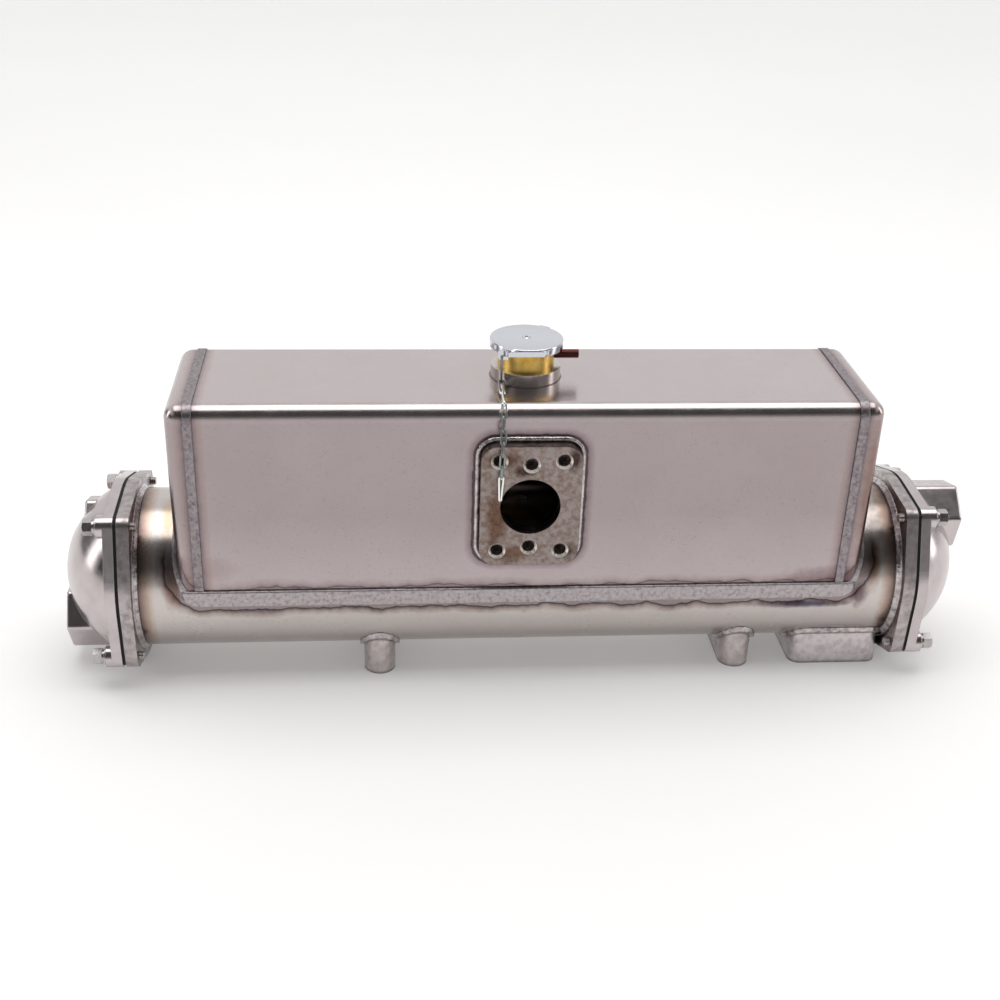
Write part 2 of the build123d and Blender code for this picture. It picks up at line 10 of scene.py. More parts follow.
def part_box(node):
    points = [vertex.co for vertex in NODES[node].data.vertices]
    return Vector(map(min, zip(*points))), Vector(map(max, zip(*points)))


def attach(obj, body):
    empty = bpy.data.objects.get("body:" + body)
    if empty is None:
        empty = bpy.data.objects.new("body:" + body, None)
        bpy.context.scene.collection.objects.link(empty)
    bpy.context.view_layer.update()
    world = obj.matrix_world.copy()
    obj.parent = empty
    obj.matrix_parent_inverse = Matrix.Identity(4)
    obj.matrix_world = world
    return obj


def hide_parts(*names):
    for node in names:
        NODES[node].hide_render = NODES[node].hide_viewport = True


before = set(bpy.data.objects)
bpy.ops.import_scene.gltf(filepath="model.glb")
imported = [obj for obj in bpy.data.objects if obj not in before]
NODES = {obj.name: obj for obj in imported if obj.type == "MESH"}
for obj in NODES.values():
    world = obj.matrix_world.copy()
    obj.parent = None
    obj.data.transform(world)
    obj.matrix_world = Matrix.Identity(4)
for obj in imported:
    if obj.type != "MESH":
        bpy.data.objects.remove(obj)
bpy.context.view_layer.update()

bl_info = {
    "name": "Heat Exchanger Dresser",
    "version": (1, 0, 0),
    "blender": (4, 5, 0),
    "location": "View3D > Sidebar > Exchanger",
    "description": "Finishes and small parts of a shell and tube heat exchanger with a header tank",
    "category": "Object",
}

# ---------------------------------------------------------------- places taken from the frame
MM = 0.001


def middle(node):
    """Centre of a CAD node's box."""
    low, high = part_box(node)
    return (low + high) / 2


TUBE_MID = middle("shell_tube")
TUBE_R = (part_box("shell_tube")[1].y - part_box("shell_tube")[0].y) / 2
AXIS_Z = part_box("shell_tube")[1].z - TUBE_R
TANK_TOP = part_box("tank_wrapper")[1].z
SEAM_X = (middle("tank_seam_weld_right").x - middle("tank_seam_weld_left").x) / 2
TANK_HALF = (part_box("tank_end_right")[1].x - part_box("tank_end_left")[0].x) / 2
FLANGE_WELD_X = (middle("flange_weld_right").x - middle("flange_weld_left").x) / 2
CAP_RADIUS = 31.5 * MM
CAP_MID_X = middle("filler_neck").x
PLATE_MID = middle("front_port_plate")
PLATE_HOLES = ((27.0, 42.0), (0.0, 38.6))
PLATE_HALF = (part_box("front_port_plate")[1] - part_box("front_port_plate")[0]) / 2


def linear(code):
    """A written sRGB colour, such as #a0a0a0, as linear RGBA."""
    parts = [int(code[i:i + 2], 16) / 255 for i in (1, 3, 5)]
    return tuple(p / 12.92 if p <= 0.04045 else ((p + 0.055) / 1.055) ** 2.4 for p in parts) + (1.0,)


# ---------------------------------------------------------------- sizes and colours a user may change
def size(name, mm, description):
    """A length property in metres, given in millimetres."""
    return bpy.props.FloatProperty(name=name, description=description, default=mm * MM, min=0.0,
                                   subtype="DISTANCE", unit="LENGTH")


def tone(name, code, description):
    """A colour property, given as a written sRGB colour."""
    return bpy.props.FloatVectorProperty(name=name, description=description, default=linear(code),
                                         size=4, min=0.0, max=1.0, subtype="COLOR")


class ExchangerFinish(bpy.types.PropertyGroup):
    """Colours of the finishes."""
    sheet: tone("Sheet", "#c3baba", "Satin stainless of the header tank")
    tube: tone("Tube", "#cbc4c0", "Satin stainless of the shell tube")
    bead: tone("Weld bead", "#aca4a6", "Unbrushed weld")
    cover: tone("Cover", "#c6bebe", "Machined casting of the end covers")
    flange: tone("Flange", "#b5adac", "Ground flange steel")
    plate: tone("Port plate", "#958b88", "Port plate under its brown film")
    pad: tone("Pads", "#cfc7c5", "Blocks under the shell")
    chrome: tone("Cap", "#cfd0d7", "Bright plate of the filler cap")
    brass: tone("Neck", "#f6d27a", "Spun brass of the filler neck")
    overflow: tone("Overflow", "#56302d", "Tarnished copper of the overflow stub")
    zinc: tone("Fasteners", "#b9b4b2", "Zinc plated bolts and washers")


class ChainSizes(bpy.types.PropertyGroup):
    """Sizes of the cap's chain."""
    wire: size("Wire radius", 0.95, "Radius of a link's wire")
    width: size("Link width", 5.6, "Outer width of a link")
    clip: size("Clip bend", 0.9, "Radius of the last bend of the clip at the end")


class BoltSizes(bpy.types.PropertyGroup):
    """Sizes of the cover bolts."""
    flats: size("Head across flats", 13.0, "Distance between two flats of the head")
    head: size("Head height", 8.0, "Height of the head")
    washer: size("Washer radius", 8.0, "Outer radius of the flat washers")
    thick: size("Washer thickness", 1.6, "Thickness of a flat washer")
    spring: size("Spring washer", 2.0, "Thickness of the spring washer")
    shank: size("Shank radius", 4.0, "Radius of the bolt")
    pitch: size("Pitch", 1.25, "Distance between two threads")


class CapSizes(bpy.types.PropertyGroup):
    """Sizes of the filler cap."""
    wall: size("Wall", 1.2, "Thickness of the pressed skirt")
    rivet: size("Rivet radius", 2.2, "Radius of the rivet head in the middle")
    dish: size("Dish radius", 3.8, "Radius of the shallow dish round the rivet")
    dent: size("Dish depth", 1.5, "Depth of that dish")
    flat: size("Flat at the front", 28.9, "Distance of the skirt's flat from the middle")
    ear: size("Ear", 2.6, "How far an ear stands out of the rim")


class StudioSettings(bpy.types.PropertyGroup):
    """Floor, lamps and camera."""
    floor: tone("Floor", "#f1f0ef", "Pale floor")
    lens: bpy.props.FloatProperty(name="Lens", description="Focal length on a 36 mm sensor",
                                  default=51.02, min=1.0, subtype="DISTANCE_CAMERA", unit="CAMERA")
    lamp: bpy.props.FloatProperty(name="Overhead lamp", description="Power of the overhead soft box",
                                  default=29.0, min=0.0, subtype="POWER", unit="POWER")


# ---------------------------------------------------------------- materials
def node(tree, kind, sockets=None, stops=None, **settings):
    """Adds a shader node with its settings; a socket takes a value or another node's output."""
    made = tree.nodes.new(kind)
    for name, value in settings.items():
        setattr(made, name, value)
    if stops:
        ramp = made.color_ramp.elements
        while len(ramp) < len(stops):
            ramp.new(0.5)
        for element, (place, colour) in zip(ramp, stops):
            element.position = place
            element.color = colour if len(colour) == 4 else tuple(colour) + (1.0,)
    for name, value in (sockets or {}).items():
        if isinstance(value, bpy.types.NodeSocket):
            tree.links.new(value, made.inputs[name])
        else:
            made.inputs[name].default_value = value
    return made


def grey(value):
    """A grey stop for a ramp that carries a number."""
    return (value, value, value, 1.0)


def blank(name):
    """A new material with only its output, and the Object coordinates in metres."""
    material = bpy.data.materials.new(name)
    material.use_nodes = True
    tree = material.node_tree
    tree.nodes.clear()
    place = node(tree, "ShaderNodeTexCoord").outputs["Object"]
    return material, tree, place


def finish_metal(tree, colour, rough, normal, **sockets):
    """Joins a metal's colour, roughness and normal to the output."""
    shader = node(tree, "ShaderNodeBsdfPrincipled",
                  {"Base Color": colour, "Metallic": 1.0, "Roughness": rough, "Normal": normal, **sockets})
    node(tree, "ShaderNodeOutputMaterial", {"Surface": shader.outputs["BSDF"]})


def fraction(tree, value, low, high, out_low=0.0, out_high=1.0):
    """Maps a number from one range to another, clamped."""
    made = node(tree, "ShaderNodeMapRange", {"Value": value, "From Min": low, "From Max": high,
                                             "To Min": out_low, "To Max": out_high})
    return made.outputs["Result"]


def number(tree, operation, first, second=0.0, third=0.0):
    """One step of arithmetic."""
    return node(tree, "ShaderNodeMath", {0: first, 1: second, 2: third}, operation=operation).outputs[0]


def cloud(tree, place, mm, detail=4.0, rough=0.55):
    """Noise whose lumps are about mm across."""
    made = node(tree, "ShaderNodeTexNoise", {"Vector": place, "Scale": 1 / (mm * MM), "Detail": detail,
                                             "Roughness": rough})
    return made.outputs["Fac"]


def stretched(tree, place, scale):
    """Object coordinates squeezed along an axis, for brushed and rolled lines."""
    return node(tree, "ShaderNodeMapping", {"Vector": place, "Scale": scale}).outputs["Vector"]


def relief(tree, height, mm, edge_mm=0.0, under=None):
    """Bump of a real depth in mm, over softened edges where edge_mm is given."""
    sockets = {"Height": height, "Strength": 1.0, "Distance": mm * MM}
    if edge_mm:
        sockets["Normal"] = node(tree, "ShaderNodeBevel", {"Radius": edge_mm * MM}, samples=4).outputs["Normal"]
    if under is not None:
        sockets["Normal"] = under
    return node(tree, "ShaderNodeBump", sockets).outputs["Normal"]


def blend_colours(tree, share, first, second, kind="MIX"):
    """Mixes two colours by a share."""
    made = node(tree, "ShaderNodeMix", {"Factor": share, 6: first, 7: second}, data_type="RGBA", blend_type=kind)
    return made.outputs[2]


def away_from(tree, place, axis, centre, offset):
    """Distance in mm from the two planes at centre +- offset along an axis."""
    split = node(tree, "ShaderNodeSeparateXYZ", {0: place}).outputs[axis]
    shifted = number(tree, "SUBTRACT", split, centre)
    folded = number(tree, "ABSOLUTE", shifted)
    gap = number(tree, "ABSOLUTE", number(tree, "SUBTRACT", folded, offset))
    return number(tree, "MULTIPLY", gap, 1 / MM)


def axis_mm(tree, place, axis, at):
    """Distance in mm along an axis from a place on it, with its sign."""
    split = node(tree, "ShaderNodeSeparateXYZ", {0: place}).outputs[axis]
    return number(tree, "MULTIPLY", number(tree, "SUBTRACT", split, at), 1 / MM)


def heat_tint_and_painted_shade(tree, base, distance, place, stops):
    """Colour by distance from an edge: oxide and undercut beside a weld, and on the tank sheet the painted shade
    below its top; given as stops of (mm from the edge, sRGB colour).
    """
    reach = stops[-1][0]
    ragged = number(tree, "MULTIPLY_ADD", cloud(tree, place, 7.0, 2.0), 2.4, number(tree, "SUBTRACT", distance, 1.2))
    # The ramp holds oxide colours, and for the sheet's top the painted shade.
    film = node(tree, "ShaderNodeValToRGB", {"Fac": fraction(tree, ragged, 0.0, reach)},
                [(at / reach, linear(code)) for at, code in stops]).outputs["Color"]
    return blend_colours(tree, 1.0, base, film, "MULTIPLY")


def stains_and_painted_shade(tree, base, place, spots):
    """Patches of heat colour, stains and painted shade: each has its middle and half sizes in mm in the frame, and an
    sRGB colour.
    """
    for middle_mm, half_mm, code in spots:
        near = node(tree, "ShaderNodeVectorMath", {0: place, 1: Vector(middle_mm) * MM}, operation="SUBTRACT")
        scaled = node(tree, "ShaderNodeVectorMath", {0: near.outputs[0], 1: Vector(half_mm) * MM}, operation="DIVIDE")
        away = node(tree, "ShaderNodeVectorMath", {0: scaled.outputs[0]}, operation="LENGTH").outputs["Value"]
        ragged = number(tree, "MULTIPLY_ADD", cloud(tree, place, 9.0), 0.7, number(tree, "SUBTRACT", away, 0.35))
        share = fraction(tree, ragged, 0.35, 1.0, 1.0, 0.0)
        base = blend_colours(tree, share, base, blend_colours(tree, 1.0, base, linear(code), "MULTIPLY"))
    return base


# Beside a seam: a dark undercut, then a grey band that fades with a trace of pink.
SEAM_STOPS = ((0.0, "#aaa3a6"), (1.6, "#d2ccd0"), (4.0, "#eee6e4"), (7.0, "#fbf6f2"), (9.0, "#ffffff"))
FLANGE_STOPS = ((0.0, "#7f7674"), (2.0, "#a79690"), (5.0, "#cdbab0"), (9.0, "#eee3da"), (13.0, "#ffffff"))
TUBE_FOOT_STOPS = ((0.0, "#bbb3b5"), (0.8, "#4a4449"), (1.8, "#8d8388"), (4.5, "#d6cbc9"), (9.0, "#ffffff"))
SHEET_FOOT_STOPS = ((0.0, "#c6bec0"), (0.8, "#857d80"), (1.8, "#cfc8ca"), (4.5, "#f0eae8"), (9.0, "#ffffff"))


def frame_gap(tree, place, centre, half, corner, wavy):
    """Distance in mm outside a rounded frame in the XZ plane, its edge wavy by so many mm."""
    squares = []
    for axis, at, reach in (("X", centre[0], half[0]), ("Z", centre[1], half[1])):
        away = number(tree, "ABSOLUTE", axis_mm(tree, place, axis, at))
        beyond = number(tree, "MAXIMUM", number(tree, "SUBTRACT", away, reach - corner), 0.0)
        squares.append(number(tree, "POWER", beyond, 2.0))
    away = number(tree, "SQRT", number(tree, "ADD", *squares))
    wave = number(tree, "MULTIPLY", cloud(tree, place, 26.0, 2.0), 2 * wavy)
    return number(tree, "SUBTRACT", number(tree, "ADD", away, wavy - corner), wave)


def shadowed(tree, colour, reach_mm, dark):
    """Painted shade: darker in holes and corners narrower than reach_mm, by ambient occlusion."""
    open_share = node(tree, "ShaderNodeAmbientOcclusion", {"Distance": reach_mm * MM}, samples=8).outputs["AO"]
    return blend_colours(tree, fraction(tree, open_share, 0.3, 0.85), dark, colour)


PLATE_STOPS = ((0.0, "#8b8386"), (1.0, "#6e666a"), (2.2, "#cfc7c9"), (4.5, "#e6e0e4"), (8.0, "#ffffff"))
# Painted shade on the tank sheet, by mm below its top: darker from 4 mm down, lighter again from 100 mm down, in
# place of the dark far room and the bright near floor that the sheet mirrors.
PAINTED_FRONT_SHADE_STOPS = ((0.0, "#ffffff"), (4.0, "#ffffff"), (14.0, "#dcd7d8"), (100.0, "#d9d4d5"), (150.0, "#ece8ea"), (190.0, "#f4f1f2"))
COLLAR_STOPS = ((0.0, "#5a5250"), (1.2, "#a89e98"), (2.4, "#ffffff"))


def sheet_details(tree, place):
    """On the tank sheet: rings round the port plate's bead and the filler collar, and a painted shade that darkens
    the sheet from a little below its top and lightens it again lower down.
    """
    plate = frame_gap(tree, place, (PLATE_MID.x, PLATE_MID.z), (PLATE_HALF.x / MM + 4.6, PLATE_HALF.z / MM + 4.6), 18.0, 0.8)
    # The ring round the plate is on the front alone: further back than that, its distance only grows.
    plate = number(tree, "MAXIMUM", plate, axis_mm(tree, place, "Y", -60.0 * MM))
    flat = node(tree, "ShaderNodeVectorMath", {0: place, 1: (CAP_MID_X, 0.0, TANK_TOP)}, operation="SUBTRACT")
    away = node(tree, "ShaderNodeVectorMath", {0: flat.outputs[0]}, operation="LENGTH").outputs["Value"]
    collar = number(tree, "MULTIPLY_ADD", away, 1 / MM, -29.4)
    # Mm below the tank's top, for the painted shade.
    down = number(tree, "MULTIPLY", axis_mm(tree, place, "Z", TANK_TOP), -1.0)
    return ((plate, PLATE_STOPS), (collar, COLLAR_STOPS), (down, PAINTED_FRONT_SHADE_STOPS))


def satin_stainless(name, colour, bands, spots, foot, extra=None):
    """Cold rolled stainless, brushed fine: a soft grey metal with faint cloudy stains and heat at the welds."""
    material, tree, place = blank(name)
    stain = fraction(tree, cloud(tree, place, 60.0), 0.3, 0.75)
    tinted = blend_colours(tree, stain, colour, (colour[0] * 0.96, colour[1] * 0.94, colour[2] * 0.935, 1.0))
    specks = fraction(tree, cloud(tree, place, 1.6, 2.0), 0.62, 0.74)
    tinted = blend_colours(tree, specks, tinted, linear("#b0a6a3"))
    for axis, centre, offset, bead, stops in bands:
        gap = number(tree, "SUBTRACT", away_from(tree, place, axis, centre, offset), bead)
        tinted = heat_tint_and_painted_shade(tree, tinted, gap, place, stops)
    half, low, corner, way, stops = foot
    tall = 300.0
    gap = frame_gap(tree, place, (TUBE_MID.x, AXIS_Z + (low + tall) * MM), (half, tall), corner, 6.0)
    line = heat_tint_and_painted_shade(tree, tinted, number(tree, "MULTIPLY", gap, way), place, stops)
    at_foot = fraction(tree, axis_mm(tree, place, "Z", AXIS_Z), 40.0, 52.0, 1.0, 0.0)
    tinted = blend_colours(tree, at_foot, tinted, line)
    # On the sheet, extra gives the rings round the plate and the collar, and the painted shade below the top.
    for gap, stops in (extra(tree, place) if extra else ()):
        tinted = heat_tint_and_painted_shade(tree, tinted, gap, place, stops)
    tinted = stains_and_painted_shade(tree, tinted, place, spots)
    rough = fraction(tree, cloud(tree, place, 25.0), 0.3, 0.7, 0.21, 0.28)
    # The rolled lines run along the sheet, a few tenths of a millimetre apart.
    lines = cloud(tree, stretched(tree, place, (0.04, 1.0, 1.0)), 0.6)
    waves = cloud(tree, place, 90.0, 1.0)
    soft = relief(tree, waves, 0.5, 0.8)
    finish_metal(tree, tinted, rough, relief(tree, lines, 0.004, under=soft))
    return material


def weld_bead(name, dark, colour, light, lump_mm, deep_mm, rough_low, rough_high):
    """Unbrushed weld: cloudy grey with a few bright specks and soft ripples."""
    material, tree, place = blank(name)
    mottle = cloud(tree, place, lump_mm, 5.0, 0.6)
    shade = node(tree, "ShaderNodeValToRGB", {"Fac": mottle},
                 [(0.32, linear(dark)), (0.46, colour), (0.62, linear(light)), (0.8, colour)])
    rough = fraction(tree, cloud(tree, place, 4.0), 0.3, 0.7, rough_low, rough_high)
    ripple = cloud(tree, place, lump_mm * 0.8, 2.0)
    finish_metal(tree, shade.outputs["Color"], rough, relief(tree, ripple, deep_mm, 1.2))
    return material


def cast_cover(name, colour):
    """Sand casting, turned and vapour blasted: even satin grey, a little grainy."""
    material, tree, place = blank(name)
    stain = fraction(tree, cloud(tree, place, 18.0), 0.35, 0.75)
    tinted = blend_colours(tree, stain, colour, (colour[0] * 0.86, colour[1] * 0.84, colour[2] * 0.83, 1.0))
    rough = fraction(tree, cloud(tree, place, 6.0), 0.3, 0.7, 0.18, 0.26)
    swell = cloud(tree, place, 16.0, 1.0)
    finish_metal(tree, tinted, rough, relief(tree, swell, 0.06, 1.0))
    return material


def countersinks(tree, place, colour):
    """On the port plate: brown stains, six tapped holes painted near black inside as shade, and their bright turned
    cones.
    """
    colour = stains_and_painted_shade(tree, colour, place, PLATE_SPOTS)
    up = number(tree, "ABSOLUTE", axis_mm(tree, place, "Z", PLATE_MID.z))
    side = number(tree, "ABSOLUTE", axis_mm(tree, place, "X", PLATE_MID.x))
    nearest = 99.0
    for x, z in PLATE_HOLES:
        squares = [number(tree, "POWER", number(tree, "SUBTRACT", a, b), 2.0) for a, b in ((side, x), (up, z))]
        nearest = number(tree, "MINIMUM", number(tree, "SQRT", number(tree, "ADD", *squares)), nearest)
    cone = blend_colours(tree, fraction(tree, nearest, 7.4, 6.9), colour, linear("#f4ece4"))
    # Painted shade: the tapped holes are near black inside.
    return blend_colours(tree, fraction(tree, nearest, 5.2, 4.9), cone, linear("#0c0a09"))


def ground_steel(name, colour, stain_code, stain_mm, edge_mm, shade_reach_mm=11.0, sinks=None):
    """Plate cut and ground on a belt: satin lines, with a thin brown film in patches."""
    material, tree, place = blank(name)
    film = fraction(tree, cloud(tree, place, stain_mm), 0.4, 0.68)
    tinted = blend_colours(tree, film, colour, linear(stain_code))
    if sinks:
        tinted = sinks(tree, place, tinted)
    else:
        # Painted shade in holes and corners.
        tinted = shadowed(tree, tinted, shade_reach_mm, linear("#0c0a09"))
    rough = fraction(tree, cloud(tree, place, 7.0), 0.3, 0.7, 0.26, 0.4)
    lines = cloud(tree, stretched(tree, place, (1.0, 1.0, 0.08)), 0.8)
    finish_metal(tree, tinted, rough, relief(tree, lines, 0.008, edge_mm))
    return material


def plated(name, colour, rough_low, rough_high, edge_mm):
    """Bright plating over a pressing or fastener: nearly a mirror, a little cloudy."""
    material, tree, place = blank(name)
    rough = fraction(tree, cloud(tree, place, 5.0), 0.3, 0.7, rough_low, rough_high)
    dents = cloud(tree, place, 14.0, 1.0)
    finish_metal(tree, colour, rough, relief(tree, dents, 0.012, edge_mm))
    return material


def nickel_wire(name, bright_code, dull_code):
    """Nickel plated wire: worn bright on the long links at both ends of the hanging part, dull grey between."""
    material, tree, place = blank(name)
    up = axis_mm(tree, place, "Z", TANK_TOP)
    forward = axis_mm(tree, place, "Y", 0.0)
    on_top = number(tree, "MULTIPLY", fraction(tree, up, -3.0, -1.0), fraction(tree, forward, -46.0, -44.0, 1.0, 0.0))
    bright = number(tree, "MAXIMUM", on_top, fraction(tree, up, -56.0, -54.5, 1.0, 0.0))
    dull = blend_colours(tree, cloud(tree, place, 3.0), linear(dull_code), linear("#a9aca8"))
    colour = blend_colours(tree, bright, dull, linear(bright_code))
    rough = fraction(tree, bright, 0.0, 1.0, 0.32, 0.16)
    finish_metal(tree, colour, rough, relief(tree, cloud(tree, place, 2.0), 0.02))
    return material


def spun_brass(name, colour):
    """Brass turned on a lathe: warm, streaked round the neck, browned where hands and water reach."""
    material, tree, place = blank(name)
    rings = cloud(tree, stretched(tree, place, (0.12, 0.12, 1.0)), 1.0)
    tarnish = fraction(tree, cloud(tree, place, 11.0), 0.4, 0.7)
    tinted = blend_colours(tree, tarnish, colour, linear("#d0a54c"))
    rough = fraction(tree, rings, 0.3, 0.7, 0.3, 0.45)
    finish_metal(tree, tinted, rough, relief(tree, rings, 0.01, 0.5))
    return material


def nitrile_rubber(name):
    """Pressed black rubber sheet: matt, with a faint grain."""
    material, tree, place = blank(name)
    shade = blend_colours(tree, cloud(tree, place, 4.0), linear("#0c0c0c"), linear("#1c1b1b"))
    shader = node(tree, "ShaderNodeBsdfPrincipled",
                  {"Base Color": shade, "Roughness": 0.7, "Normal": relief(tree, cloud(tree, place, 0.7), 0.02)})
    node(tree, "ShaderNodeOutputMaterial", {"Surface": shader.outputs["BSDF"]})
    return material


def dress(material, *names):
    """Gives a material to CAD nodes."""
    for name in names:
        mesh = NODES[name].data
        mesh.materials.clear()
        mesh.materials.append(material)


# ---------------------------------------------------------------- modelling helpers
def clear_selection():
    """Nothing selected, object mode."""
    if bpy.context.object and bpy.context.object.mode != "OBJECT":
        bpy.ops.object.mode_set(mode="OBJECT")
    bpy.ops.object.select_all(action="DESELECT")


def pick(piece):
    """Makes one object the only one selected and the active one."""
    clear_selection()
    piece.select_set(True)
    bpy.context.view_layer.objects.active = piece


def named(name):
    """The primitive just added, with a name of its own."""
    piece = bpy.context.object
    piece.name = name
    piece.data.name = name
    return piece


def settle(piece):
    """Puts an object's place, turn and scale into its mesh."""
    pick(piece)
    bpy.ops.object.transform_apply(location=True, rotation=True, scale=True)


def select(piece, test, kind="verts"):
    """In edit mode, selects what passes the test and nothing else."""
    shape = bmesh.from_edit_mesh(piece.data)
    for group in (shape.faces, shape.edges, shape.verts):
        for element in group:
            element.select = False
    for element in getattr(shape, kind):
        if test(element):
            element.select = True
    shape.select_flush_mode()
    bmesh.update_edit_mesh(piece.data)


def copy_of(piece, name):
    """A copy with its own mesh."""
    twin = piece.copy()
    twin.data = piece.data.copy()
    twin.name = name
    bpy.context.collection.objects.link(twin)
    return twin


def join(pieces, name):
    """Joins pieces into the first, under a new name."""
    clear_selection()
    for piece in pieces:
        piece.select_set(True)
    bpy.context.view_layer.objects.active = pieces[0]
    bpy.ops.object.join()
    pieces[0].name = name
    pieces[0].data.name = name
    return pieces[0]


def turned(name, outline, segments):
    """A solid turned about Z, from a disc carried through the points of (radius, height)."""
    clear_selection()
    bpy.ops.mesh.primitive_circle_add(vertices=segments, radius=outline[0][0], fill_type="NGON",
                                      location=(0, 0, outline[0][1]))
    piece = named(name)
    settle(piece)
    bpy.ops.object.mode_set(mode="EDIT")
    bpy.ops.mesh.select_all(action="SELECT")
    for (r0, z0), (r1, z1) in zip(outline, outline[1:]):
        bpy.ops.mesh.extrude_region_move(TRANSFORM_OT_translate={"value": (0, 0, z1 - z0)})
        bpy.ops.transform.resize(value=(r1 / r0, r1 / r0, 1), center_override=(0, 0, z1))
    bpy.ops.mesh.select_all(action="SELECT")
    bpy.ops.mesh.normals_make_consistent(inside=False)
    bpy.ops.object.mode_set(mode="OBJECT")
    return piece


def combine(piece, tool, kind):
    """Cuts or keeps a piece by another, which is used up."""
    pick(piece)
    step = piece.modifiers.new("combine", "BOOLEAN")
    step.operation = kind
    step.object = tool
    step.solver = "EXACT"
    bpy.ops.object.modifier_apply(modifier=step.name)
    bpy.data.objects.remove(tool, do_unlink=True)


def hand_over(piece, body, slot, material, *nodes, angle=35):
    """Shades a finished piece and lets it stand for its CAD nodes."""
    settle(piece)
    bpy.ops.object.shade_smooth_by_angle(angle=radians(angle))
    piece.data.materials.clear()
    piece.data.materials.append(material)
    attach(piece, body)
    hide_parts(*nodes)


# ---------------------------------------------------------------- operators
# Patches of heat colour on the tank sheet and on the tube, and one of painted shade on the tube: middle and half
# sizes in mm, and colour.
PLATE_SPOTS = (
    ((-65.0, -80.0, 172.0), (12.0, 20.0, 40.0), "#bfa392"), ((-60.0, -80.0, 226.0), (22.0, 20.0, 10.0), "#a48b7b"),
    ((-42.0, -80.0, 216.0), (14.0, 20.0, 7.0), "#8b7a74"), ((-1.0, -80.0, 226.0), (8.0, 20.0, 14.0), "#857874"),
    ((-52.0, -80.0, 138.0), (24.0, 20.0, 10.0), "#c6ac9c"), ((-4.0, -80.0, 140.0), (12.0, 20.0, 10.0), "#a89a95"))
SHEET_SPOTS = (
    ((259.0, -69.5, 190.0), (9.0, 12.0, 95.0), "#d9c3b8"), ((-306.0, -69.5, 118.0), (26.0, 20.0, 16.0), "#efeaea"),
    ((236.0, -69.5, 104.0), (50.0, 20.0, 12.0), "#d8cfd2"))
TUBE_HEAT_AND_SHADE_SPOTS = (
    ((-344.0, -30.0, 147.0), (9.0, 30.0, 22.0), "#f0d9c2"), ((-340.0, -69.0, 100.0), (10.0, 20.0, 26.0), "#cbbab2"),
    ((215.0, -70.0, 76.0), (52.0, 14.0, 5.0), "#84849a"), ((264.0, -70.0, 84.0), (10.0, 20.0, 16.0), "#a79aa2"),
    # The wide grey patch at (310, -35, 150) is painted shade that dims the highlight on the tube's right end.
    ((310.0, -35.0, 150.0), (75.0, 60.0, 36.0), "#b3aeab"), ((276.0, -60.0, 112.0), (8.0, 30.0, 26.0), "#c9b4a6"), ((-388.0, -62.0, 88.0), (10.0, 30.0, 30.0), "#b28b72"))


